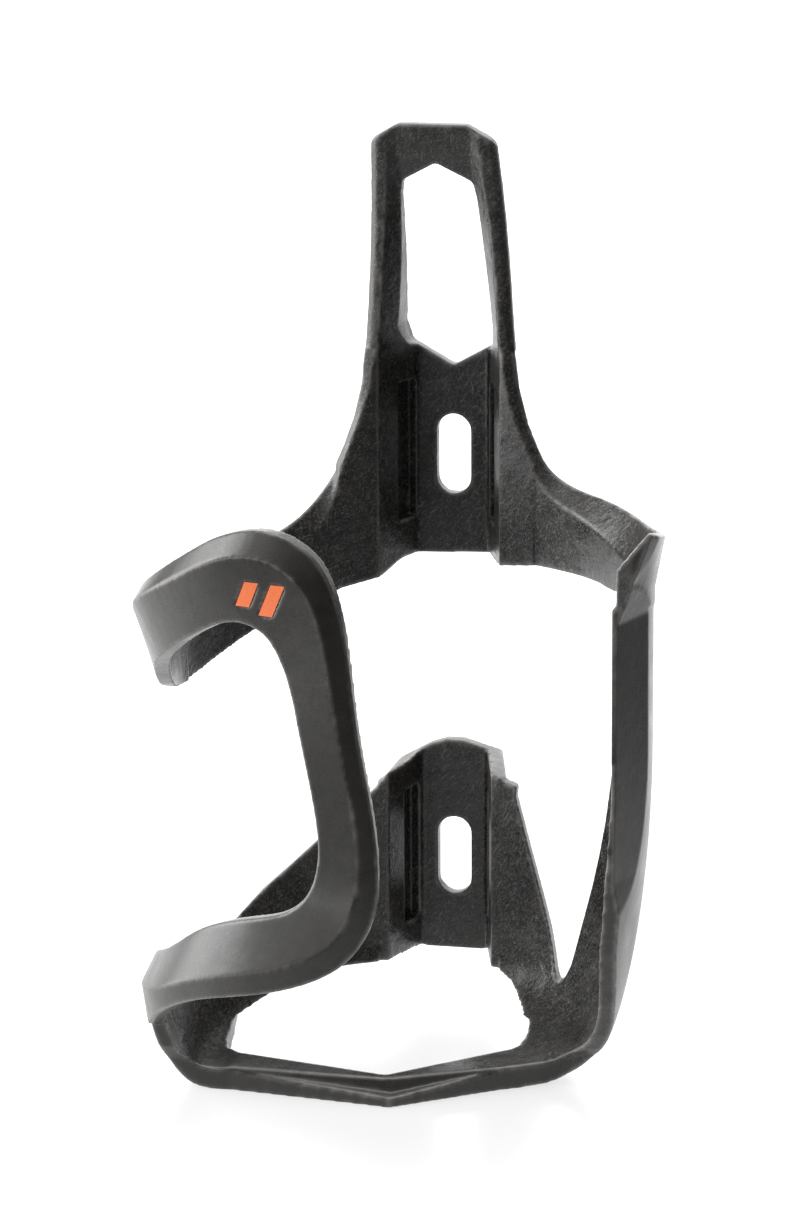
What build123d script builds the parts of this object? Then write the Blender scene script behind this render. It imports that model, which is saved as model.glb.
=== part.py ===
from build123d import *
import os
from math import cos, radians, sin, sqrt

# Water bottle cage, side loading, moulded in short-fibre carbon composite.
# Millimetres. +Z is up, -Y faces the bottle, +Y faces the bicycle frame, +X is the right
# side seen from the bottle. The origin is the centre of the bolt pattern, on the rear
# mounting face. Angles are about the bottle's axis, from +Y, positive towards +X.
# Plan positions in the tables are measured from the bottle's axis.

# driving dimensions
BOLT_SPACING = 64.0          # standard bottle boss spacing
SLOT_WIDTH = 5.3             # clears an M5 bolt
SLOT_LENGTH = 12.4
PLATE = 2.5                  # floor of the bolt channel
CHANNEL_DEPTH = 11.0         # from the channel's ridges back to its floor
FLOOR_HALF = 5.5             # half width of the channel's floor
RIDGE_Y = 36.0               # the ridges lie on the bottle, this far behind its axis
BOTTLE_RADIUS = 36.8         # standard 73.6 mm bottle
WALL = 2.4                   # shell thickness
BASE_Z = -54.0               # lowest point
FOOT_THICKNESS = 3.5
RELIEF = 0.5                 # depth of the bolt head reliefs beside the slots
FAR = 120.0                  # reach of the cutting prisms

# derived dimensions
FLOOR_Y = RIDGE_Y + CHANNEL_DEPTH
AXIS_Y = -(FLOOR_Y + PLATE)
OUTER_RADIUS = BOTTLE_RADIUS + WALL
SLOT_Z = BOLT_SPACING / 2
FOOT_TOP = BASE_Z + FOOT_THICKNESS

os.makedirs("parts", exist_ok=True)


# ------------------------------------------------------------------- shared helpers
def face_from(plane, points):
    """A flat face on a plane, from its corner points."""
    with BuildSketch(plane) as sketch:
        with BuildLine():
            Polyline(*points, close=True)
        make_face()
    return sketch.sketch


def front_prism(points, start, end):
    """A prism seen from the front: points are (x, z), its ends are y from the bottle's axis."""
    with BuildPart() as prism:
        plane = Plane(origin=(0, AXIS_Y + start, 0), x_dir=(-1, 0, 0), z_dir=(0, 1, 0))
        with BuildSketch(plane):
            with BuildLine():
                Polyline(*[(-x, z) for x, z in points], close=True)
            make_face()
        extrude(amount=end - start)
    return prism.part


def side_prism(points, start, end):
    """A prism seen from the side: points are (y, z), its ends are x."""
    with BuildPart() as prism:
        with BuildSketch(Plane.YZ.offset(start)):
            with BuildLine():
                Polyline(*[(AXIS_Y + y, z) for y, z in points], close=True)
            make_face()
        extrude(amount=end - start)
    return prism.part


def plan_prism(points, low, high):
    """A prism seen from above: points are (x, y), its ends are z."""
    with BuildPart() as prism:
        with BuildSketch(Plane.XY.offset(low)):
            with BuildLine():
                Polyline(*[(x, AXIS_Y + y) for x, y in points], close=True)
            make_face()
        extrude(amount=high - low)
    return prism.part


def arm_plane(angle, z, lean):
    """A plane across an arm: x points away from the bottle's axis, y leans from +Z."""
    s, c = sin(radians(angle)), cos(radians(angle))
    sl, cl = sin(radians(lean)), cos(radians(lean))
    outward = Vector(s, c, 0)
    across = Vector(c * sl, -s * sl, cl)
    return Plane(origin=(0, AXIS_Y, z), x_dir=outward, z_dir=outward.cross(across))


def arm_section(angle, z, lean, inside, outside):
    """A closed arm section. Both lists have (offset across the arm, radius)."""
    def place(offset, radius):
        return sqrt(radius**2 - (offset * sin(radians(lean))) ** 2), offset

    loop = [place(*p) for p in inside] + [place(*p) for p in reversed(outside)]
    return face_from(arm_plane(angle, z, lean), loop)


def mirrored(points):
    """The same points on the other side of the centre line."""
    return [(-x, y) for x, y in points]


def spine_section(z, left, right):
    """A section of the spine at height z. Each side's points go from the floor outwards in
    front and come back behind; left points are given as if they were on the right."""
    loop = right + mirrored(reversed(left))
    return face_from(Plane.XY.offset(z), [(x, AXIS_Y + y) for x, y in loop])


def rail_side(ridge_x, ridge_y, floor_y, edge_x):
    """One side of the channel with its narrow front face and chamfered outer edge."""
    return [
        (FLOOR_HALF, floor_y),
        (ridge_x, ridge_y),
        (edge_x - 1.0, ridge_y + 0.1),
        (edge_x, ridge_y + 1.0),
        (edge_x, ridge_y + PLATE + 0.2),
        (ridge_x + 1.3, ridge_y + PLATE + 0.6),
        (FLOOR_HALF + 2.0, floor_y + PLATE),
    ]


def flange_side(crease_angle, tip_angle, tip_radius):
    """One side of the channel with the root of a wing, whose lip starts at its crease."""
    def spot(radius, angle):
        return radius * sin(radians(angle)), radius * cos(radians(angle))

    ridge_x = 9.3
    return [
        (FLOOR_HALF, FLOOR_Y),
        (ridge_x, RIDGE_Y),
        spot(BOTTLE_RADIUS + 0.2, crease_angle),
        spot(tip_radius, tip_angle),
        spot(tip_radius + 1.2, tip_angle - 0.5),
        spot(OUTER_RADIUS + 0.2, crease_angle),
        (FLOOR_HALF + 2.0, FLOOR_Y + PLATE),
    ]


def slot_cutter(z):
    """The upright M5 slot at height z."""
    with BuildPart() as cutter:
        plane = Plane(origin=(0, 1, z), x_dir=(1, 0, 0), z_dir=(0, -1, 0))
        with BuildSketch(plane):
            SlotOverall(SLOT_LENGTH, SLOT_WIDTH, rotation=90)
        extrude(amount=PLATE + 2)
    return cutter.part


def relief_cutter(side, z, length, ridge_x):
    """A shallow recess in one slanted channel wall, that clears a bolt's head."""
    wall = Vector(side * (ridge_x - FLOOR_HALF), RIDGE_Y - FLOOR_Y, 0)
    foot = Vector(side * FLOOR_HALF, AXIS_Y + FLOOR_Y, z)
    normal = Vector(0, 0, side).cross(wall).normalized()
    middle = foot + wall * 0.27
    with BuildPart() as cutter:
        with BuildSketch(Plane(origin=middle - normal * RELIEF, x_dir=(0, 0, 1), z_dir=normal)):
            Rectangle(length, wall.length * 0.44)
        extrude(amount=4 * RELIEF)
    return cutter.part


# ------------------------------------------------------------------ outlines that cut
WINDOW_HALF = [(6.6, 49.5), (7.3, 52.5), (6.35, 64.0), (5.75, 73.6), (5.3, 75.9)]
WINDOW = [(0, 45.8)] + WINDOW_HALF + [(0, 78.8)] + mirrored(reversed(WINDOW_HALF))
with BuildPart() as window:
    with BuildSketch(Plane(origin=(0, 5, 0), x_dir=(1, 0, 0), z_dir=(0, -1, 0))) as outline:
        with BuildLine():
            Polyline(*WINDOW, close=True)
        make_face()
        fillet(outline.vertices(), 1.0)
    extrude(amount=40)

# ------------------------------------------------------------------- upper back plate
ROOT_ANGLE = 24.0            # the wings start at this angle, left and right
# height, then for the left and the right side: crease angle, lip angle and lip radius
UPPER_SPINE = [
    (12.0, (30.0, 31.0, 38.6), (30.0, 31.0, 38.6)),
    (25.0, (27.0, 31.5, 38.6), (30.0, 31.0, 38.6)),
    (30.5, (24.2, 25.4, 38.6), (27.0, 28.6, 38.6)),
    (35.0, (21.6, 22.4, 38.5), (22.4, 23.8, 38.5)),
    (39.5, (19.0, 20.0, 38.4), (19.0, 20.6, 38.4)),
    (44.5, (16.4, 18.3, 38.2), (16.4, 18.7, 38.2)),
    (50.0, (15.0, 17.6, 38.1), (15.0, 17.6, 38.1)),
]
PLATE_LOWER_END = [
    (-30, 11.6), (-15.6, 13.0), (-9.1, 14.7), (-7.4, 16.2), (7.4, 16.8), (9.3, 17.3), (15, 18.1),
    (30, 18.1), (30, 0), (-30, 0),
]


def beyond(angle, low, high):
    """Everything on the far side of an upright plane through the bottle's axis."""
    def spot(radius, at):
        return radius * sin(radians(at)), radius * cos(radians(at))

    side = 1 if angle > 0 else -1
    return plan_prism([spot(20, angle), spot(FAR, angle), spot(FAR, angle + side * 60),
                       spot(20, angle + side * 60)], low, high)


with BuildPart() as upper_back_plate:
    loft([spine_section(z, flange_side(*left), flange_side(*right))
          for z, left, right in UPPER_SPINE], ruled=True)
    for angle in (-ROOT_ANGLE, ROOT_ANGLE):
        add(beyond(angle, 0, 60), mode=Mode.SUBTRACT)
    add(front_prism(PLATE_LOWER_END, 20, 60), mode=Mode.SUBTRACT)
    add(window.part, mode=Mode.SUBTRACT)
    add(slot_cutter(SLOT_Z), mode=Mode.SUBTRACT)
    for side in (-1, 1):
        add(relief_cutter(side, SLOT_Z + 1.0, 21.5, 9.3), mode=Mode.SUBTRACT)

# ---------------------------------------------------------------------- rails and tab
# z, ridge x, ridge y, floor y, outer edge x
RAILS = [
    (50.0, 9.2, RIDGE_Y, FLOOR_Y, 11.5),
    (57.0, 8.8, 35.9, 44.4, 11.0),
    (64.0, 8.4, 35.6, 41.2, 10.6),
    (71.0, 7.9, 34.6, 37.8, 10.2),
    (76.0, 7.4, 33.4, 35.2, 9.9),
]
TAB = [
    RAILS[-1],
    (80.5, 7.2, 32.0, 33.0, 9.6),
    (85.0, 7.0, 30.9, 31.2, 9.5),
]
TAB_CORNER = [(5.2, 85.0), (8.9, 82.8), (9.7, 81.6), (20, 81.6), (20, 90), (5.2, 90)]
with BuildPart() as spine_top:
    loft([spine_section(z, rail_side(*row), rail_side(*row)) for z, *row in RAILS], ruled=True)
    add(window.part, mode=Mode.SUBTRACT)
with BuildPart() as left_rail:
    add(spine_top.part)
    split(bisect_by=Plane.YZ, keep=Keep.BOTTOM)
with BuildPart() as right_rail:
    add(spine_top.part)
    split(bisect_by=Plane.YZ, keep=Keep.TOP)
with BuildPart() as top_tab:
    loft([spine_section(z, rail_side(*row), rail_side(*row)) for z, *row in TAB], ruled=True)
    add(window.part, mode=Mode.SUBTRACT)
    for side in (-1, 1):
        add(front_prism([(side * x, z) for x, z in TAB_CORNER], 20, 60), mode=Mode.SUBTRACT)

# ------------------------------------------------------------------ upper right wing
# angle, lower edge z, crease z, lip z, crease radius, lip radius, outer radius of the wall
RIGHT_WING = [
    (24.0, 12.0, 33.1, 34.9, 37.0, 38.5, 39.4),
    (28.5, 12.0, 29.6, 31.9, 36.8, 39.0, 39.2),
    (34.0, 12.0, 28.1, 30.6, 36.6, 39.3, 39.0),
    (43.0, 12.0, 26.6, 30.0, 36.4, 39.3, 38.8),
    (55.0, 12.0, 24.6, 29.4, 36.1, 39.0, 38.7),
    (70.0, 12.0, 24.0, 29.6, 35.8, 38.8, 38.7),
    (85.0, 12.0, 25.0, 31.4, 35.9, 39.2, 38.8),
    (97.0, 12.0, 27.0, 33.2, 36.2, 40.3, 38.9),
    (105.0, 12.0, 28.4, 34.2, 36.4, 41.2, 38.9),
]
# seen from the front: the free lower edge of the wing, and everything under it
RIGHT_WING_LOW = [
    (10, 18.1), (24, 18.2), (29, 17.9), (33.4, 18.4), (36.2, 19.2), (60, 19.2), (60, 0), (10, 0),
]
# seen from the right: the joint between the wing and the strut under it, which slopes
STRUT_TOP = [(60, 10.4), (-20, 24.8)]
LIP_EDGE = 2.0               # the wall starts to flare this far below its crease
LIP_TOP = (1.1, 0.6)         # width of the lip's top edge, and how far it drops outwards


def wing_section(angle, low, crease, lip, crease_radius, lip_radius, wall_radius):
    """An upright wing section: a wall on the bottle, and a lip that flares from its crease."""
    inside = [(low, crease_radius), (crease, crease_radius), (lip, lip_radius)]
    outside = [(low, wall_radius), (crease - LIP_EDGE, wall_radius),
               (lip - LIP_TOP[1], lip_radius + LIP_TOP[0])]
    return arm_section(angle, 0, 0, inside, outside)


# seen from above: the strut's broad front facet at each height, from its inner front edge
STRUT_FACET = [
    (38.0, (43.0, -6.8), (46.7, 4.7)),
    (20.5, (35.2, -10.9), (38.9, 0.6)),
    (0.0, (35.1, -10.6), (38.7, 0.5)),
    (-18.0, (34.9, -10.0), (38.4, 0.5)),
    (-34.0, (36.0, -10.0), (38.4, 0.5)),
]


def facet_section(z, inner, outer):
    """Everything outside the facet at height z, as far as the cut has to reach."""
    reach = 12
    line = Vector(outer[0] - inner[0], outer[1] - inner[1]).normalized() * reach
    ahead = (inner[0] - line.X, inner[1] - line.Y)
    aside = (outer[0] + line.X, outer[1] + line.Y)
    points = [ahead, aside, (aside[0] + reach, aside[1]), (ahead[0] + 2 * reach, ahead[1])]
    return face_from(Plane.XY.offset(z), [(x, AXIS_Y + y) for x, y in points])


with BuildPart() as facet_cutter:
    loft([facet_section(*row) for row in STRUT_FACET], ruled=True)
# seen from the right: the free front edge of the right side, and everything in front of it
RIGHT_FRONT = [
    (-10.2, 50), (-9.9, 0), (-9.5, -18), (-7.0, -29), (-2.0, -38.5), (2.0, -44.6),
    (4.9, -47.8), (6.8, -49.4), (7.0, -50.2), (7.0, -54.5), (-80, -54.5), (-80, 50),
]
RIGHT_FRONT_X = 25.5

with BuildPart() as upper_right_wing:
    loft([wing_section(*row) for row in RIGHT_WING])
    add(front_prism(RIGHT_WING_LOW, 0, 60), mode=Mode.SUBTRACT)
    add(side_prism(STRUT_TOP + [(-20, 0), (60, 0)], 30, 60), mode=Mode.SUBTRACT)
    add(side_prism(RIGHT_FRONT, RIGHT_FRONT_X, 60), mode=Mode.SUBTRACT)
    add(facet_cutter.part, mode=Mode.SUBTRACT)

# ------------------------------------------------------------------- upper left arm
# angle, lower edge z, crease z, lip z, crease radius, lip radius, outer radius of the wall
LEFT_WING = [
    (-24.0, 12.9, 30.9, 31.4, 37.0, 38.5, 39.4),
    (-28.5, 12.1, 22.6, 27.2, 36.9, 38.6, 39.3),
    (-34.0, 10.9, 19.4, 24.0, 36.7, 38.4, 39.1),
    (-45.0, 8.5, 17.2, 21.8, 36.2, 37.6, 38.6),
    (-58.0, 5.6, 15.8, 20.6, 35.6, 36.4, 37.8),
    (-72.0, 3.8, 15.4, 20.0, 34.8, 35.2, 37.0),
]
# the arm from the wing to the riser: angle, z, lean, then for its upper or inner edge, its
# crease and its other edge: offset and outer radius
LEFT_ARM = [
    (-72, 0, 0, (3.8, 36.6), (15.4, 37.2), (20.0, 36.9)),
    (-86, 0, 0, (5.0, 34.8), (16.6, 36.6), (20.2, 36.0)),
    (-98, 0, 0, (8.0, 33.8), (18.2, 36.3), (21.3, 35.6)),
    (-110, 0, 0, (11.4, 33.9), (20.4, 36.9), (23.4, 35.7)),
    (-123, 0, 0, (14.8, 35.0), (23.7, 38.4), (26.4, 36.6)),
    (-136, 0, 0, (18.4, 36.6), (27.3, 39.8), (30.2, 37.7)),
    (-148, 0, 0, (22.3, 37.8), (31.2, 40.5), (34.4, 38.3)),
    (-158, 0, 0, (24.8, 38.3), (34.3, 41.0), (37.5, 38.7)),
    (-167.2, 31.6, -14.3, (-7.5, 38.5), (3.4, 41.0), (6.8, 38.8)),
    (-172.7, 29.3, -31.2, (-7.2, 38.6), (3.2, 41.0), (6.7, 38.9)),
    (-176.5, 24.2, -52.0, (-5.8, 38.7), (2.5, 41.0), (5.5, 39.1)),
    (-178.7, 17.5, -72.0, (-4.6, 38.8), (2.0, 41.0), (4.5, 39.3)),
    (-180.2, 11.0, -81.0, (-4.2, 39.0), (1.9, 41.0), (4.2, 39.5)),
    (-181.8, 5.0, -84.0, (-4.1, 39.0), (1.8, 41.0), (4.1, 39.6)),
    (-183.4, -1.0, -87.0, (-4.1, 39.0), (1.8, 41.0), (4.1, 39.6)),
    (-184.3, -7.5, -98, (-4.3, 38.9), (1.7, 41.0), (4.3, 39.9)),
    (-183.2, -13.6, -118, (-4.9, 38.6), (1.7, 41.1), (4.9, 40.2)),
    (-179.8, -17.7, -139, (-5.2, 38.4), (1.8, 41.2), (5.2, 40.4)),
    (-173.2, -20.7, -160, (-5.0, 38.2), (1.8, 41.2), (5.2, 40.4)),
    (-162.0, -23.2, -180, (-5.4, 37.8), (2.1, 40.8), (5.4, 40.0)),
    (-148.5, -26.0, -180, (-5.3, 36.9), (2.0, 40.0), (5.2, 39.2)),
    (-135.0, -29.8, -180, (-4.6, 35.6), (1.8, 38.8), (5.2, 37.9)),
    (-121.0, -33.6, -180, (-4.6, 34.4), (1.2, 37.2), (5.6, 36.2)),
    (-107.0, -37.0, -180, (-5.2, 34.2), (-0.4, 36.5), (6.2, 35.6)),
    (-98.0, -38.2, -180, (-5.4, 34.2), (-0.9, 36.4), (6.6, 35.5)),
]
# seen from the front: the two joints that the upright strut lies between
STRUT_JOINTS = [(-9.8, 9.4), (10.0, 12.6), (12.8, -8.9), (-7.0, -6.1)]
BELOW_STRUT = [(-60, -6.1), (-7.0, -6.1), (12.8, -8.9), (60, -8.9), (60, -60), (-60, -60)]
BAND_END_Y = -10.4           # the lower band ends here and the riser starts


def band_section(angle, z, lean, *lines):
    """A band section of constant thickness: two facets that meet at the crease."""
    inside = [(offset, radius - WALL) for offset, radius in lines]
    return arm_section(angle, z, lean, inside, list(lines))


with BuildPart() as upper_left_wing:
    loft([wing_section(*row) for row in LEFT_WING])
with BuildPart() as left_arm:
    loft([band_section(*row) for row in LEFT_ARM])
strut_zone = front_prism(STRUT_JOINTS, -60, -20)
band_zone = front_prism(BELOW_STRUT, -60, 60)
with BuildPart() as upper_left_band:
    add(left_arm.part)
    add(strut_zone, mode=Mode.SUBTRACT)
    add(band_zone, mode=Mode.SUBTRACT)
# the mark's two bars are inlaid in the band's broad facet; seen from the front
MARK_DEPTH = 0.6
OUTER_BAR = [(-13.2, 27.6), (-11.5, 31.4), (-9.4, 31.4), (-11.1, 27.6)]
INNER_BAR = [(-9.7, 26.6), (-7.5, 31.4), (-5.4, 31.4), (-7.6, 26.6)]
with BuildPart() as band_core:
    loft([arm_section(angle, z, lean, [(o, r - 2 * WALL) for o, r in lines],
                      [(o, r - MARK_DEPTH) for o, r in lines])
          for angle, z, lean, *lines in LEFT_ARM])
with BuildPart() as accent_bar_outer:
    add(upper_left_band.part)
    add(front_prism(OUTER_BAR, -60, -20), mode=Mode.INTERSECT)
    add(band_core.part, mode=Mode.SUBTRACT)
with BuildPart() as accent_bar_inner:
    add(upper_left_band.part)
    add(front_prism(INNER_BAR, -60, -20), mode=Mode.INTERSECT)
    add(band_core.part, mode=Mode.SUBTRACT)
with upper_left_band:
    add(accent_bar_outer.part, mode=Mode.SUBTRACT)
    add(accent_bar_inner.part, mode=Mode.SUBTRACT)

with BuildPart() as left_strut:
    add(left_arm.part)
    add(strut_zone, mode=Mode.INTERSECT)
with BuildPart() as lower_left_band:
    add(left_arm.part)
    add(band_zone, mode=Mode.INTERSECT)
    add(plan_prism([(-60, BAND_END_Y), (0, BAND_END_Y), (0, 20), (-60, 20)], -60, -10),
        mode=Mode.SUBTRACT)

# -------------------------------------------------------------------- lower back plate
LOWER_RIDGE_X = 8.0
WEB_ANGLE = 15.0             # the webs start at this angle, left and right


def lower_side():
    """One side of the lower channel, from its floor to the web beside it."""
    s, c = sin(radians(WEB_ANGLE)), cos(radians(WEB_ANGLE))
    return [
        (FLOOR_HALF - 0.3, FLOOR_Y),
        (LOWER_RIDGE_X, RIDGE_Y),
        ((OUTER_RADIUS - WALL) * s, (OUTER_RADIUS - WALL) * c),
        (OUTER_RADIUS * s, OUTER_RADIUS * c),
        (FLOOR_HALF + 1.7, FLOOR_Y + PLATE),
    ]


LOWER_PLATE_ENDS = [
    (-20, -19.6), (-9.4, -17.6), (-8.0, -15.9), (-6.9, -16.0), (-4, -14.3), (-1.4, -13.4),
    (1.4, -13.4), (5, -14.5), (8.0, -15.3), (10.6, -16.5), (20, -16.5), (20, 10), (-20, 10),
]
LOWER_PLATE_FOOT = [(-20, -46.4), (-7.4, -46.4), (-4.6, -47.1), (4.6, -47.1), (7.4, -46.4),
                    (20, -46.4), (20, -60), (-20, -60)]
with BuildPart() as lower_back_plate:
    loft([spine_section(z, lower_side(), lower_side()) for z in (-52, -10)], ruled=True)
    add(front_prism(LOWER_PLATE_ENDS, 20, 60), mode=Mode.SUBTRACT)
    add(front_prism(LOWER_PLATE_FOOT, 20, 60), mode=Mode.SUBTRACT)
    add(slot_cutter(-SLOT_Z), mode=Mode.SUBTRACT)
    for side in (-1, 1):
        add(relief_cutter(side, -SLOT_Z + 0.8, 21.5, 8.0), mode=Mode.SUBTRACT)

# ------------------------------------------------------------------------ lower shell
# angle, then the outer profile as (radius, z) down the wall and in to the floor
RIGHT_SHELL = [
    (15, [(39.2, 0), (39.2, -30), (39.2, -40), (38.8, -46.4), (36.6, -50.6), (31, -53.5), (22, -54)]),
    (30, [(39.2, 0), (39.1, -30), (38.7, -38), (37.4, -45), (34, -50.2), (28.5, -53.2), (21, -54)]),
    (55, [(39, 0), (38.1, -30), (36.9, -38), (34.6, -45), (31.6, -49.6), (27.2, -52.8), (20, -54)]),
    (80, [(38.6, 0), (36.4, -30), (34.9, -38), (33, -44.6), (30.3, -49.4), (26.4, -52.7), (20, -54)]),
    (118, [(38.6, 0), (36.4, -30), (34.9, -38), (33, -44.6), (30.3, -49.4), (26.4, -52.7), (20, -54)]),
]
LEFT_SHELL = [
    (-15, [(39.2, 0), (39.2, -30), (39.1, -39), (38.7, -45.6), (36.6, -50.4), (31.4, -53.4), (22, -54)]),
    (-30, [(39.2, 0), (39, -30), (38.4, -38), (37.4, -45), (35, -50.2), (30.6, -53.3), (22, -54)]),
    (-60, [(37.6, 0), (37.3, -30), (37, -38), (35.6, -45), (33.2, -50), (30.2, -53), (22, -54)]),
    (-85, [(34.8, 0), (35.6, -30), (36.0, -38), (34.9, -45), (32.6, -50.1), (29.8, -53.1), (22, -54)]),
    (-118, [(33.2, 0), (34.4, -30), (35.5, -38), (34.7, -45), (32.4, -50.1), (29.6, -53.1), (22, -54)]),
]
WALL_TOP = 24.0
FLOOR_REACH = 14.0           # the floor is drawn in to this radius, then cut open


def inset(profile):
    """The inner profile: the wall's thickness inside the outer one, the foot's at the floor."""
    moved = [(profile[0][0] - WALL, profile[0][1])]
    for before, (r, z), after in zip(profile, profile[1:], profile[2:]):
        run = Vector(after[0] - before[0], after[1] - before[1]).normalized()
        steep = abs(run.Y)
        thickness = WALL * steep + FOOT_THICKNESS * (1 - steep)
        moved.append((r + run.Y * thickness, z - run.X * thickness))
    return moved + [(profile[-1][0], FOOT_TOP)]


def shell_section(angle, profile):
    """A radial section of the shell: wall, rounded corner and the floor's outer part."""
    inner = inset(profile)
    with BuildSketch(arm_plane(angle, 0, 0)) as section:
        with BuildLine():
            Spline(*profile, tangents=[(0, -1), (-1, 0)])
            Spline(*inner, tangents=[(0, -1), (-1, 0)])
            Polyline(profile[0], (profile[0][0], WALL_TOP), (inner[0][0], WALL_TOP), inner[0])
            Polyline(profile[-1], (FLOOR_REACH, BASE_Z), (FLOOR_REACH, FOOT_TOP), inner[-1])
        make_face()
    return section.sketch


LEFT_FRONT = [
    (BAND_END_Y, 40), (BAND_END_Y, -42.0), (-9.0, -46.9), (-6.8, -49.4), (-6.4, -50.2), (-6.4, -55),
    (-80, -55), (-80, 40),
]
LEFT_FRONT_X = -26.5
# seen from above: everything in front of the foot's edge, a shallow chevron
FOOT_LEFT, FOOT_RIGHT = -23.0, 16.0
FOOT_FRONT = [
    (LEFT_FRONT_X, -6.4), (FOOT_LEFT, -6.4), (FOOT_RIGHT, 1.2), (RIGHT_FRONT_X, 7.0),
    (RIGHT_FRONT_X, -80), (LEFT_FRONT_X, -80),
]
FOOT_FRONT_HEIGHT = -46.0
LEDGE = 0.6                  # the ledge's share of the depth between the edge and the crease
# x, then the foot's section there: front y, top z of the front strip, crease y, rear y
FOOT = [
    (FOOT_LEFT, -6.4, -50.9, -6.1, 1.0),
    (0.3, -9.2, -52.4, -6.4, -4.5),
    (2.0, -9.5, -52.6, -5.9, -2.9),
    (FOOT_RIGHT, 1.2, -50.9, 1.6, 10.6),
]
# seen from above: the opening in the floor
FLOOR_OPENING = [
    (0.4, -4.5), (FOOT_RIGHT, 10.6), (17.0, 12.6), (17.2, 18.5), (16.2, 27.0), (14.0, 33.5),
    (12.6, 37.0), (12.6, 60),
    (-28.4, 60), (-28.2, 24), (-26.6, 7.0), (-25.4, 3.4), (FOOT_LEFT, 1.0),
]
# seen from the front: how high that opening reaches up the wall
OPENING_TOP = [
    (-40, -60), (-40, -49.6), (-27.3, -49.6), (-22, -47.6), (-15, -46.5), (-8, -46.3),
    (8, -46.2), (9.6, -46.5), (11.8, -47.4), (13.6, -48.8), (15.2, -49.8), (20, -49.8), (20, -60),
]
# seen from the front: the slope of the left web, and everything above it
LEFT_WEB_TOP = [
    (-6, -16.0), (-9.4, -17.9), (-13.8, -22.2), (-18.1, -26.1), (-22.2, -29.9), (-25.9, -33.1),
    (-29.3, -37.0), (-29.3, 60), (-6, 60),
]
# seen from the right: the same edge round the side, up to the lower band
LEFT_SIDE_TOP = [
    (60, -37.0), (22.6, -37.0), (16, -38.4), (8, -37.8), (-1, -36.4), (-12, -34.6), (-12, 60),
    (60, 60),
]
# seen from the front: the V notch and the side opening above it
RIGHT_NOTCH = [
    (10.6, -16.5), (12.3, -16.9), (12.1, -18.8), (14.4, -26.8), (18.0, -38.3), (19.4, -44.0), (20.1, -45.6),
    (21.0, -45.0), (22.3, -42.2), (23.9, -35.8), (25.7, -29.0), (26.9, -23.8), (28.0, -18.2),
    (29.0, -11.5), (30.6, 0), (32.0, 9), (33.4, 14.0), (35.4, 17.5), (37.5, 19.4), (37.5, 60),
    (6, 60), (6, -16.5),
]
LEFT_WEB_Y, RIGHT_WEB_Y = 6.0, 14.0     # webs behind, riser and corner in front
STRUT_FOOT_Z = -30.0

opening = plan_prism(FLOOR_OPENING, -60, -40) & front_prism(OPENING_TOP, -20, 60)
foot_front = plan_prism(FOOT_FRONT, -60, FOOT_FRONT_HEIGHT)
foot_zone = plan_prism([(FOOT_LEFT, -30), (FOOT_RIGHT, -30), (FOOT_RIGHT, 16), (FOOT_LEFT, 16)], -60, -44)
web_zone = plan_prism(
    [(-60, LEFT_WEB_Y), (0, LEFT_WEB_Y), (0, RIGHT_WEB_Y), (60, RIGHT_WEB_Y), (60, 60), (-60, 60)],
    -60, -10)
right_zone = plan_prism([(20, -40), (60, -40), (60, 60), (20, 60)], STRUT_FOOT_Z, 60)

with BuildPart() as right_side:
    loft([shell_section(*row) for row in RIGHT_SHELL])
    add(side_prism(STRUT_TOP + [(-20, 60), (60, 60)], 0, 60), mode=Mode.SUBTRACT)
    add(side_prism(RIGHT_FRONT, RIGHT_FRONT_X, 60), mode=Mode.SUBTRACT)
    add(facet_cutter.part, mode=Mode.SUBTRACT)
    add(foot_front, mode=Mode.SUBTRACT)
    add(foot_zone, mode=Mode.SUBTRACT)
    add(opening, mode=Mode.SUBTRACT)
    add(front_prism(RIGHT_NOTCH, 0, 60), mode=Mode.SUBTRACT)
with BuildPart() as left_side:
    loft([shell_section(*row) for row in LEFT_SHELL])
    add(side_prism(LEFT_FRONT, -60, LEFT_FRONT_X), mode=Mode.SUBTRACT)
    add(foot_front, mode=Mode.SUBTRACT)
    add(foot_zone, mode=Mode.SUBTRACT)
    add(opening, mode=Mode.SUBTRACT)
    add(front_prism(LEFT_WEB_TOP, -20, 60), mode=Mode.SUBTRACT)
    add(side_prism(LEFT_SIDE_TOP, -60, -29.3), mode=Mode.SUBTRACT)

with BuildPart() as right_strut:
    add(right_side.part)
    add(right_zone, mode=Mode.INTERSECT)
with BuildPart() as lower_right_web:
    add(right_side.part)
    add(web_zone, mode=Mode.INTERSECT)
    add(right_zone, mode=Mode.SUBTRACT)
with BuildPart() as lower_right_corner:
    add(right_side.part)
    add(web_zone, mode=Mode.SUBTRACT)
    add(right_zone, mode=Mode.SUBTRACT)
with BuildPart() as lower_left_web:
    add(left_side.part)
    add(web_zone, mode=Mode.INTERSECT)
with BuildPart() as left_riser:
    add(left_side.part)
    add(web_zone, mode=Mode.SUBTRACT)


def foot_section(x, front, strip_z, crease, rear):
    """A section of the foot: a low front strip with a ledge, a steep facet and a flat top."""
    ledge = front + LEDGE * (crease - front)
    points = [(front, BASE_Z), (front, strip_z), (ledge, strip_z + 0.1), (crease, FOOT_TOP),
              (rear, FOOT_TOP), (rear, BASE_Z)]
    return face_from(Plane.YZ.offset(x), [(AXIS_Y + y, z) for y, z in points])


with BuildPart() as foot:
    loft([foot_section(*row) for row in FOOT], ruled=True)

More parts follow.
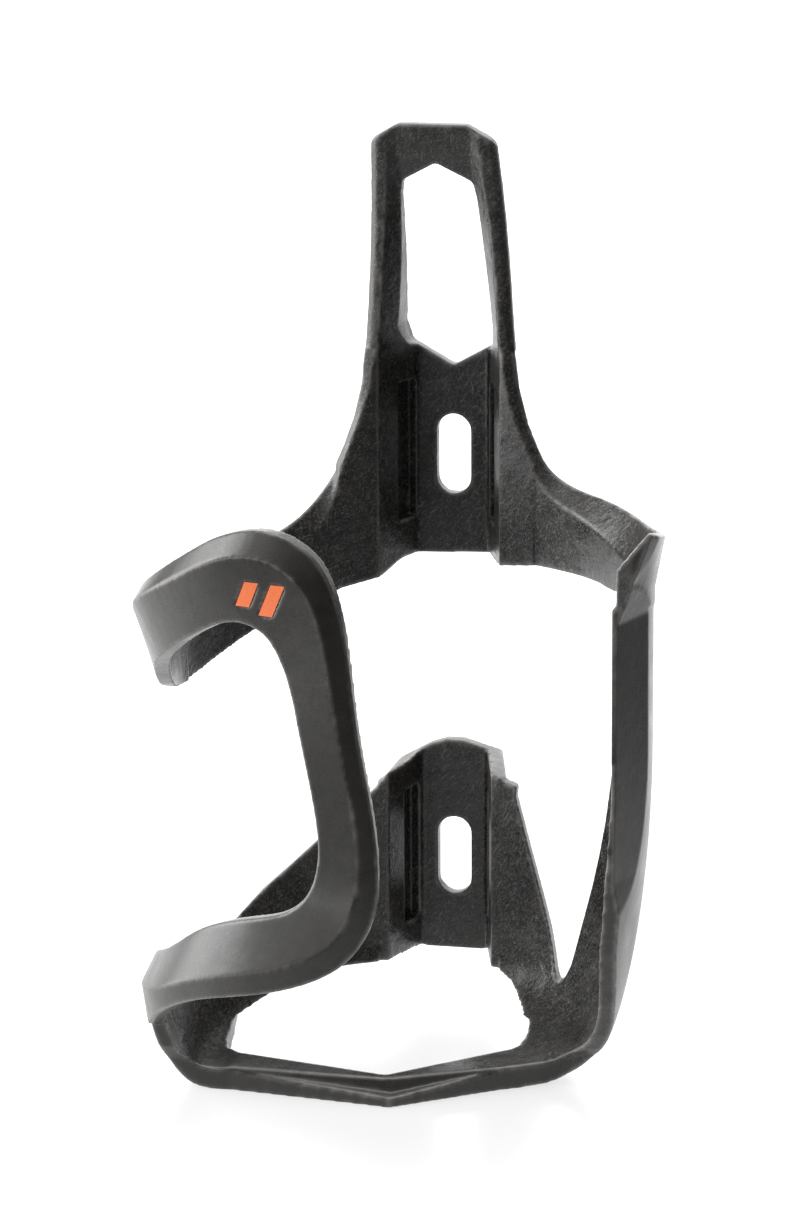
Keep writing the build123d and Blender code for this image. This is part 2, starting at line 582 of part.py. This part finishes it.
for name, piece in {
    "upper_back_plate": upper_back_plate,
    "left_rail": left_rail,
    "right_rail": right_rail,
    "top_tab": top_tab,
    "upper_right_wing": upper_right_wing,
    "right_strut": right_strut,
    "lower_right_web": lower_right_web,
    "lower_right_corner": lower_right_corner,
    "foot": foot,
    "lower_back_plate": lower_back_plate,
    "lower_left_web": lower_left_web,
    "left_riser": left_riser,
    "lower_left_band": lower_left_band,
    "left_strut": left_strut,
    "upper_left_band": upper_left_band,
    "upper_left_wing": upper_left_wing,
    "accent_bar_outer": accent_bar_outer,
    "accent_bar_inner": accent_bar_inner,
}.items():
    piece.part.label = name
    export_step(piece.part, f"parts/{name}.step")
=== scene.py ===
"""The looks of the water bottle cage: a short-fibre composite moulding with a printed mark.

The CAD sections are joined into one moulding with rounded edges, which is then cut again
close to the same joints, so that every section has its own piece. The model's frame is in
metres: +Z is up, -Y faces the bottle, and the origin is on the rear mounting face.
"""
import math

import bmesh
import bpy
from mathutils import Euler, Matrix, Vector


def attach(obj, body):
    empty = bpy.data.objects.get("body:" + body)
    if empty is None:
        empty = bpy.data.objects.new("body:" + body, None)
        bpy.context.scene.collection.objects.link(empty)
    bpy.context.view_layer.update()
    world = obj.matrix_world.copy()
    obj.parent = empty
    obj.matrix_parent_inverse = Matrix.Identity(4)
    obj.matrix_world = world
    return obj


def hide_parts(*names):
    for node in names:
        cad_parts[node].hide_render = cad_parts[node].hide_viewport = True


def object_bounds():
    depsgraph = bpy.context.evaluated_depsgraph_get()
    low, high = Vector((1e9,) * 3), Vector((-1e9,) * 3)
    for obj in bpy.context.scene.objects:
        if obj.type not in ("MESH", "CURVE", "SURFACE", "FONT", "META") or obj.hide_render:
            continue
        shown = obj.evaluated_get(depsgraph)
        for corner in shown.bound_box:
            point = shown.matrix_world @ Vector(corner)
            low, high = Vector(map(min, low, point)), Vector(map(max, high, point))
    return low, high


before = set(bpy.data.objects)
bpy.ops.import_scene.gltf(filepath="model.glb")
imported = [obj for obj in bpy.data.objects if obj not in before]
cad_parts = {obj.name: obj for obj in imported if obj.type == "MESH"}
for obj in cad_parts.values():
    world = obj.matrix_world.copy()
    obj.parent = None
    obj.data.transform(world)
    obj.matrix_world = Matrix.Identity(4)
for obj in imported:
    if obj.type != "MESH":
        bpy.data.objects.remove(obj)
frame_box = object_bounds()

MM = 0.001
AXIS_Y = -49.5 * MM          # the bottle's axis
ACCENTS = ("accent_bar_inner", "accent_bar_outer")
SECTIONS = sorted(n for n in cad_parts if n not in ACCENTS)
GRAIN = 0.3 * MM             # resolution of the rounded moulding
ROUNDING = 4                 # smoothing steps, each as wide as the grain
SMALLEST = 100               # crumbs with fewer faces than this are left out
PROBES = 24                  # faces that decide which section a piece stands for
WELD = 0.002 * MM            # corners of neighbouring sections this close are one
ON_PLANE = 0.001 * MM        # corners this close to a cut lie on it
# painted edge highlight: the fold over one grain at which it starts, and how much more makes it
# full
HIGHLIGHT_START, HIGHLIGHT_SPAN = 0.04, 0.08


# ------------------------------------------------------------------------ joints
def around(angle, radius, z):
    """A point at an angle about the bottle's axis, from +Y towards +X. Millimetres in."""
    a = math.radians(angle)
    return Vector((radius * MM * math.sin(a), AXIS_Y + radius * MM * math.cos(a), z * MM))


def tangent(angle):
    """The direction in which the angle grows."""
    a = math.radians(angle)
    return Vector((math.cos(a), -math.sin(a), 0))


def place(x, y, z):
    """A point given in millimetres, with y from the bottle's axis."""
    return Vector((x * MM, AXIS_Y + y * MM, z * MM))


def leaning(x, y):
    """Upwards, leaning this far towards +X and +Y for each unit of height."""
    return Vector((x, y, 1)).normalized()


UP, RIGHT, BACK = Vector((0, 0, 1)), Vector((1, 0, 0)), Vector((0, 1, 0))
# Each joint between two sections: a point on it, its normal and how far it reaches. Four of
# them stand half a millimetre beside the CAD's joint, clear of the step that it has there:
# both wing roots, the top of the right strut, and the joint of the riser and lower band.
JOINTS = [
    (place(-8.5, 42, 50), UP, 9),                     # back plate and left rail
    (place(8.5, 42, 50), UP, 9),                      # back plate and right rail
    (place(-7.5, 35, 76), UP, 6),                     # left rail and tab
    (place(7.5, 35, 76), UP, 6),                      # right rail and tab
    (around(24.8, 38, 26), tangent(24.8), 12),        # back plate and right wing
    (around(-24.8, 38, 22), tangent(-24.8), 13),      # back plate and left wing
    (place(37.5, 3, 20.1), leaning(0, 0.18), 22),     # right wing and strut
    (place(34, 8, -30), UP, 27),                      # strut and the sections below it
    (place(26, 14, -46), BACK, 22),                   # right web and right corner
    (place(16, 6, -52), RIGHT, 8),                    # right corner and foot
    (place(-23, -2.5, -52), RIGHT, 6),                # foot and left riser
    (place(-31, 6, -45), BACK, 14),                   # left riser and left web
    (place(-33.5, -9.9, -37.5), BACK, 8),             # left riser and lower band
    (around(15, 38, -31), tangent(15), 17),           # lower back plate and right web
    (around(-15, 38, -31), tangent(-15), 16.5),       # lower back plate and left web
    (place(2.9, -38.8, -7.5), leaning(0.14, 0), 7.5), # strut and lower band
    (place(0.1, -38.8, 11), leaning(-0.16, 0), 7.5),  # strut and upper band
    (around(-72, 36.5, 12), tangent(-72), 11),        # upper band and left wing
]


# ---------------------------------------------------------------------- moulding
def joined(names):
    """One object that holds copies of these CAD nodes' meshes."""
    bm = bmesh.new()
    for name in names:
        bm.from_mesh(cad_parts[name].data)
    bmesh.ops.remove_doubles(bm, verts=bm.verts, dist=WELD)
    mesh = bpy.data.meshes.new("moulding")
    bm.to_mesh(mesh)
    bm.free()
    moulding = bpy.data.objects.new("moulding", mesh)
    bpy.context.scene.collection.objects.link(moulding)
    return moulding


def rounded(obj):
    """The object's mesh after it is merged into one skin and its edges are rounded."""
    remesh = obj.modifiers.new("merge", "REMESH")
    remesh.mode = "VOXEL"
    remesh.voxel_size = GRAIN
    smooth = obj.modifiers.new("round", "SMOOTH")
    smooth.factor = 0.5
    smooth.iterations = ROUNDING
    graph = bpy.context.evaluated_depsgraph_get()
    mesh = bpy.data.meshes.new_from_object(obj.evaluated_get(graph))
    bpy.data.objects.remove(obj)
    return mesh


def cut_at(bm, point, normal, reach):
    """Parts the skin along a plane, only near the joint."""
    faces = [f for f in bm.faces if (f.verts[0].co - point).length < reach * MM]
    edges = dict.fromkeys(e for f in faces for e in f.edges)
    verts = dict.fromkeys(v for f in faces for v in f.verts)
    made = bmesh.ops.bisect_plane(bm, geom=[*faces, *edges, *verts], dist=ON_PLANE,
                                  plane_co=point, plane_no=normal)
    line = [g for g in made["geom_cut"] if isinstance(g, bmesh.types.BMEdge)]
    bmesh.ops.split_edges(bm, edges=line)


def islands(bm):
    """The separate groups of faces, always in the same order."""
    bm.faces.index_update()
    seen = [False] * len(bm.faces)
    for seed in bm.faces:
        if seen[seed.index]:
            continue
        seen[seed.index] = True
        group = [seed]
        for face in group:
            for neighbour in (f for e in face.edges for f in e.link_faces):
                if not seen[neighbour.index]:
                    seen[neighbour.index] = True
                    group.append(neighbour)
        yield group


def piece_from(group, name, normals, painted_highlight):
    """A closed object from a group of faces. Its open ends are capped with sharp edges, and
    its outside keeps the whole moulding's normals, so the joints don't show."""
    bm = bmesh.new()
    layer = bm.verts.layers.float_vector.new("whole")
    # the painted edge highlight, carried into each piece for the material
    highlighted = bm.verts.layers.float.new("painted_highlight")
    twin = {}
    for f in group:
        for v in f.verts:
            if v not in twin:
                twin[v] = bm.verts.new(v.co)
                twin[v][layer] = v[normals]
                twin[v][highlighted] = v[painted_highlight]
        bm.faces.new([twin[v] for v in f.verts]).smooth = True
    rim = [e for e in bm.edges if e.is_boundary]
    caps = bmesh.ops.holes_fill(bm, edges=rim, sides=0)["faces"]
    for e in rim:
        e.smooth = False
    for f in caps:
        f.smooth = False
    bmesh.ops.triangulate(bm, faces=caps)
    mesh = bpy.data.meshes.new(name)
    bm.to_mesh(mesh)
    whole = [v[layer].normalized() for v in bm.verts]
    bm.free()
    mesh.normals_split_custom_set([
        whole[mesh.loops[i].vertex_index] if p.use_smooth else p.normal
        for p in mesh.polygons for i in p.loop_indices
    ])
    mesh.attributes.remove(mesh.attributes["whole"])
    piece = bpy.data.objects.new(name, mesh)
    bpy.context.scene.collection.objects.link(piece)
    return piece


def nearest_section(group):
    """The CAD section whose surface runs closest to faces taken from all over the group."""
    probes = [group[i * len(group) // PROBES].calc_center_median() for i in range(PROBES)]

    def misfit(name):
        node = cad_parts[name]
        return sum((node.closest_point_on_mesh(p)[1] - p).length for p in probes)

    return min(SECTIONS, key=misfit)


def edge_highlight_mask(v):
    """How sharply the skin folds outwards at a vertex, from 0 when flat to 1 on an edge. This
    is the mask of the painted edge highlight.
    """
    neighbours = [e.other_vert(v).co for e in v.link_edges]
    middle = sum(neighbours, Vector()) / len(neighbours)
    fold = (v.co - middle).dot(v.normal) / GRAIN
    return min(1.0, max(0.0, (fold - HIGHLIGHT_START) / HIGHLIGHT_SPAN))


def moulded_sections():
    """Every section's pieces, by name. Normals and the painted edge highlight are stored before
    the cuts.
    """
    mesh = rounded(joined(SECTIONS))
    bm = bmesh.new()
    bm.from_mesh(mesh)
    bm.normal_update()
    normals = bm.verts.layers.float_vector.new("normals")
    # the mask of the painted edge highlight, then softened over each vertex's neighbours
    painted_highlight = bm.verts.layers.float.new("painted_highlight")
    for v in bm.verts:
        v[normals] = v.normal
        v[painted_highlight] = edge_highlight_mask(v)
    for v in bm.verts:
        near = [e.other_vert(v)[painted_highlight] for e in v.link_edges]
        v[painted_highlight] = (v[painted_highlight] + sum(near)) / (1 + len(near))
    for joint in JOINTS:
        cut_at(bm, *joint)
    pieces = {}
    for group in islands(bm):
        if len(group) < SMALLEST:
            continue
        name = nearest_section(group)
        pieces.setdefault(name, []).append(piece_from(group, name + "_skin", normals, painted_highlight))
    bm.free()
    return pieces


pieces = moulded_sections()

# --------------------------------------------------------------------- materials
# the binder's darker and lighter tones, and the fibres, outside and towards the bottle
BINDER_OUTER = ((0.014, 0.013, 0.012, 1), (0.023, 0.021, 0.019, 1))
BINDER_INNER = ((0.005, 0.005, 0.005, 1), (0.018, 0.017, 0.016, 1))
FIBRE_OUTER, FIBRE_INNER = (0.16, 0.15, 0.14, 1), (0.12, 0.113, 0.105, 1)
# painted highlight: the lighter colour painted along the folded edges
PAINTED_EDGE_HIGHLIGHT = (0.32, 0.305, 0.29, 1)
INK = ((0.88, 0.175, 0.048, 1), (0.95, 0.215, 0.065, 1))
# noise scales, in features per metre
CLOUDS, SWELLS, BLOTCHES, GRIT, INK_GRIT = 90, 260, 420, 3800, 3200
FIBRE_STRETCH = (650, 3600, 3600)
THREAD = (0.61, 0.78)         # the noise at which a thread begins and is full
FIBRE_TURNS = ((20, 35, 10), (75, 10, 60), (40, 80, 130), (110, 50, 25), (65, 120, 95))


class Nodes:
    """A short way to build the node tree of a material or a world."""

    def __init__(self, owner):
        owner.use_nodes = True
        self.owner = owner
        self.tree = owner.node_tree

    def shade(self, key, value):
        """Sets a value of the material's own shader."""
        self.feed(self.tree.nodes["Principled BSDF"], key, value)

    def add(self, kind, settings=None, **inputs):
        node = self.tree.nodes.new("ShaderNode" + kind)
        for key, value in (settings or {}).items():
            setattr(node, key, value)
        for key, value in inputs.items():
            self.feed(node, key.replace("_", " "), value)
        return node

    def feed(self, node, key, value):
        """Links or sets an input, which is given by its name or its number."""
        if isinstance(value, bpy.types.NodeSocket):
            self.tree.links.new(value, node.inputs[key])
        else:
            node.inputs[key].default_value = value

    def maths(self, operation, a, b):
        node = self.add("Math", {"operation": operation})
        self.feed(node, 0, a)
        self.feed(node, 1, b)
        return node.outputs[0]

    def vector(self, operation, a, b=(0, 0, 0)):
        node = self.add("VectorMath", {"operation": operation})
        self.feed(node, 0, a)
        self.feed(node, 1, b)
        return node.outputs["Value" if operation in ("DOT_PRODUCT", "LENGTH") else "Vector"]

    def remap(self, value, low, high, to_low=0.0, to_high=1.0):
        node = self.add("MapRange", Value=value, From_Min=low, From_Max=high, To_Min=to_low,
                        To_Max=to_high)
        return node.outputs[0]

    def mix(self, factor, a, b):
        """Mixes two colours. The node's first A and B are for numbers, so it goes by number."""
        node = self.add("Mix", {"data_type": "RGBA"})
        for key, value in ((0, factor), (6, a), (7, b)):
            self.feed(node, key, value)
        return node.outputs[2]

    def noise(self, position, scale, detail=2.0, roughness=0.5):
        return self.add("TexNoise", Vector=position, Scale=scale, Detail=detail,
                        Roughness=roughness).outputs[0]

    def turned(self, position, rotation):
        return self.add("Mapping", Vector=position,
                        Rotation=Euler([math.radians(r) for r in rotation])).outputs[0]


def fibres(n, position):
    """Short fibres that lie every way: the brightest threads of stretched noise."""
    total = 0.0
    for turn in FIBRE_TURNS:
        stretched = n.vector("MULTIPLY", n.turned(position, turn), FIBRE_STRETCH)
        thread = n.remap(n.noise(stretched, 1.0, 1.0), *THREAD)
        total = n.maths("MAXIMUM", total, thread)
    return total


def towards_bottle(n, position, normal):
    """1 on faces towards the bottle's axis, 0 on faces away from it."""
    radius = n.vector("MULTIPLY", n.vector("SUBTRACT", position, (0, AXIS_Y, 0)), (1, 1, 0))
    outward = n.vector("DOT_PRODUCT", n.vector("NORMALIZE", radius), normal)
    return n.remap(outward, 0.25, -0.25)


def composite():
    """Dark moulded composite: a fibre pattern that shows most on the faces towards the
    bottle, smoother outer faces, and a satin skin with a painted highlight along its edges."""
    n = Nodes(bpy.data.materials.new("composite"))
    spot = n.add("TexCoord")
    position = spot.outputs["Object"]
    inner = towards_bottle(n, position, spot.outputs["Normal"])
    cloud = n.noise(position, CLOUDS, 4.0, 0.6)
    blotch = n.noise(position, BLOTCHES, 3.0, 0.6)
    grit = n.noise(position, GRIT, 2.0, 0.7)
    thread = fibres(n, position)

    # colour
    outer_tone = n.mix(n.remap(blotch, 0.35, 0.7), *BINDER_OUTER)
    outer_tone = n.mix(n.maths("MULTIPLY", thread, 0.06), outer_tone, FIBRE_OUTER)
    inner_tone = n.mix(n.remap(blotch, 0.35, 0.65), *BINDER_INNER)
    shown = n.maths("MULTIPLY", thread, n.remap(cloud, 0.35, 0.65, 0.45, 1.0))
    inner_tone = n.mix(shown, inner_tone, FIBRE_INNER)
    # painted highlight along the folded edges, broken up by blotches
    painted_highlight = n.add("Attribute", {"attribute_name": "painted_highlight"}).outputs["Fac"]
    highlighted = n.maths("MULTIPLY", painted_highlight, n.remap(blotch, 0.3, 0.6, 0.35, 0.75))
    n.shade("Base Color", n.mix(highlighted, n.mix(inner, outer_tone, inner_tone), PAINTED_EDGE_HIGHLIGHT))

    # sheen
    n.shade("Roughness", n.maths("ADD", n.remap(cloud, 0.3, 0.7, 0.24, 0.36),
                                 n.remap(grit, 0.3, 0.7, -0.03, 0.03)))
    n.shade("Specular IOR Level", 0.5)

    # relief: slow swells, then fibres and grit
    swell = n.add("Bump", Height=n.noise(position, SWELLS, 3.0, 0.55), Distance=0.6 * MM,
                  Strength=n.remap(inner, 0.0, 1.0, 0.10, 0.50))
    height = n.maths("ADD", n.maths("MULTIPLY", thread, n.remap(inner, 0, 1, 0.04, 1.0)),
                     n.maths("MULTIPLY", grit, n.remap(inner, 0, 1, 0.25, 0.6)))
    bump = n.add("Bump", Height=height, Strength=0.35, Distance=0.06 * MM,
                 Normal=swell.outputs[0])
    n.shade("Normal", bump.outputs[0])
    return n.owner


def printed_orange():
    """Opaque printed ink with a faint grain from the surface under it."""
    n = Nodes(bpy.data.materials.new("printed_orange"))
    grit = n.noise(n.add("TexCoord").outputs["Object"], INK_GRIT, 2.0, 0.6)
    n.shade("Base Color", n.mix(n.remap(grit, 0.3, 0.7), *INK))
    n.shade("Roughness", n.remap(grit, 0.3, 0.7, 0.42, 0.52))
    n.shade("Normal", n.add("Bump", Height=grit, Strength=0.2, Distance=0.03 * MM).outputs[0])
    return n.owner


skin = composite()
for name, made in pieces.items():
    for piece in made:
        piece.data.materials.append(skin)
        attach(piece, "root")
        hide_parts(name)
ink = printed_orange()
for name in ACCENTS:
    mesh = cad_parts[name].data
    mesh.materials.clear()
    mesh.materials.append(ink)


# ------------------------------------------------------------------------ studio
BASE_GLOW = 0.10             # the dimmest the room gets
# where the room is brighter: direction, the cosine where it starts and what it adds
GLOWS = [
    ((0, 0, 1), 0.3, 0.6),
    ((-1, -0.35, 0.5), 0.45, 1.3),
    ((-1, 0.2, 0.2), 0.88, 5.0),
    ((0.15, 0.3, 1), 0.85, 2.5),
    ((-0.05, 1, 0.3), 0.75, 2.4),
]
# the floor, in metres: between which distances each of its parts begins and is full
FLOOR_REACH = 3.0
# painted shade at the front and right: where the white part begins and is full
LIT_FROM_FRONT, LIT_FROM_RIGHT = (-0.20, -0.105), (0.17, 0.08)
# painted pool of light at the left: where it begins and is full
LIGHT_POOL_FROM_RIGHT, LIGHT_POOL_FROM_BACK = (-0.18, -0.30), (0.10, -0.02)
# painted shadow close to the cage: the distances from the axis over which it fades out
SHADOW_FADE = (0.05, 0.30)
# how bright each part glows, and how pale it is
# the painted shade at the front and right glows least and is darkest, the painted pool of light
# glows most
SHADED_GLOW, LIT_GLOW, SHADOW_FADE_GLOW, LIGHT_POOL_GLOW = 0.10, 0.70, 0.30, 2.5
SHADED_FLOOR, LIT_FLOOR = (0.10, 0.10, 0.10, 1), (0.20, 0.20, 0.20, 1)


def floor_material():
    """Glowing floor: white around the cage but with a painted shadow close to it, painted shade
    at the front and right, and a painted pool of light at the left.
    """
    n = Nodes(bpy.data.materials.new("painted_light_floor"))
    position = n.add("TexCoord").outputs["Object"]
    x, y = n.add("SeparateXYZ", Vector=position).outputs[:2]
    # painted shade: the floor is darker and dimmer at the front and right, white elsewhere
    lit_part = n.maths("MULTIPLY", n.remap(y, *LIT_FROM_FRONT), n.remap(x, *LIT_FROM_RIGHT))
    away = n.vector("LENGTH", n.vector("SUBTRACT", position, (0, AXIS_Y, 0)))
    # painted shadow: the floor glows brighter away from the cage, so it is darker close to it
    outside_painted_shadow = n.maths("MULTIPLY", lit_part, n.remap(away, *SHADOW_FADE, 0.0, SHADOW_FADE_GLOW))
    # painted pool of light: a bright glowing patch at the left
    light_pool = n.maths("MULTIPLY", n.remap(x, *LIGHT_POOL_FROM_RIGHT), n.remap(y, *LIGHT_POOL_FROM_BACK))
    glow = n.maths("ADD", n.remap(lit_part, 0.0, 1.0, SHADED_GLOW, LIT_GLOW), outside_painted_shadow)
    glow = n.maths("ADD", glow, n.maths("MULTIPLY", light_pool, LIGHT_POOL_GLOW))
    n.shade("Base Color", n.mix(lit_part, SHADED_FLOOR, LIT_FLOOR))
    n.shade("Roughness", 0.22)
    n.shade("Emission Color", (1, 1, 1, 1))
    n.shade("Emission Strength", glow)
    return n.owner


def floor():
    """A seamless floor that the foot stands on."""
    bm = bmesh.new()
    bmesh.ops.create_grid(bm, x_segments=8, y_segments=8, size=FLOOR_REACH)
    bmesh.ops.translate(bm, verts=bm.verts, vec=(0, 0, frame_box[0][2]))
    mesh = bpy.data.meshes.new("studio_floor")
    bm.to_mesh(mesh)
    bm.free()
    mesh.materials.append(floor_material())
    obj = bpy.data.objects.new("studio_floor", mesh)
    bpy.context.scene.collection.objects.link(obj)


def softbox(name, spot, target, size, power):
    """A soft light that faces the target. Its size is the width and the height."""
    light = bpy.data.lights.new(name, "AREA")
    light.shape = "RECTANGLE"
    light.size, light.size_y = size
    light.energy = power
    obj = bpy.data.objects.new(name, light)
    bpy.context.scene.collection.objects.link(obj)
    obj.location = spot
    obj.rotation_euler = (Vector(target) - Vector(spot)).to_track_quat("-Z", "Y").to_euler()


def surroundings():
    """The light of the room: pale above, behind and at the left, dark at the front right."""
    n = Nodes(bpy.data.worlds.new("studio"))
    way = n.add("TexCoord").outputs["Generated"]
    level = BASE_GLOW
    for direction, start, strength in GLOWS:
        facing = n.vector("DOT_PRODUCT", way, Vector(direction).normalized())
        level = n.maths("ADD", level, n.remap(facing, start, 1.0, 0.0, strength))
    background = n.tree.nodes["Background"]
    n.feed(background, "Color", (1, 1, 1, 1))
    n.feed(background, "Strength", level)
    return n.owner


def studio():
    floor()
    centre = (frame_box[0] + frame_box[1]) / 2
    softbox("left", (-1.0, -0.15, 0.55), centre, (0.5, 0.7), 5)
    softbox("top", (-0.15, 0.25, 1.1), centre, (0.8, 0.8), 4)
    bpy.context.scene.world = surroundings()


def camera():
    """A view from the front, a little from the right and above."""
    data = bpy.data.cameras.new("camera")
    data.sensor_width = 36
    data.lens = 147.5
    obj = bpy.data.objects.new("camera", data)
    bpy.context.scene.collection.objects.link(obj)
    obj.location = (154.2 * MM, -736.5 * MM, 191.9 * MM)
    yaw, pitch, roll = (math.radians(a) for a in (12.5, -13.83, -0.26))
    obj.rotation_euler = (math.pi / 2 + pitch, 0, yaw)
    obj.rotation_euler.rotate_axis("Z", roll)
    bpy.context.scene.camera = obj


studio()
camera()
bpy.context.scene.view_settings.view_transform = "Standard"
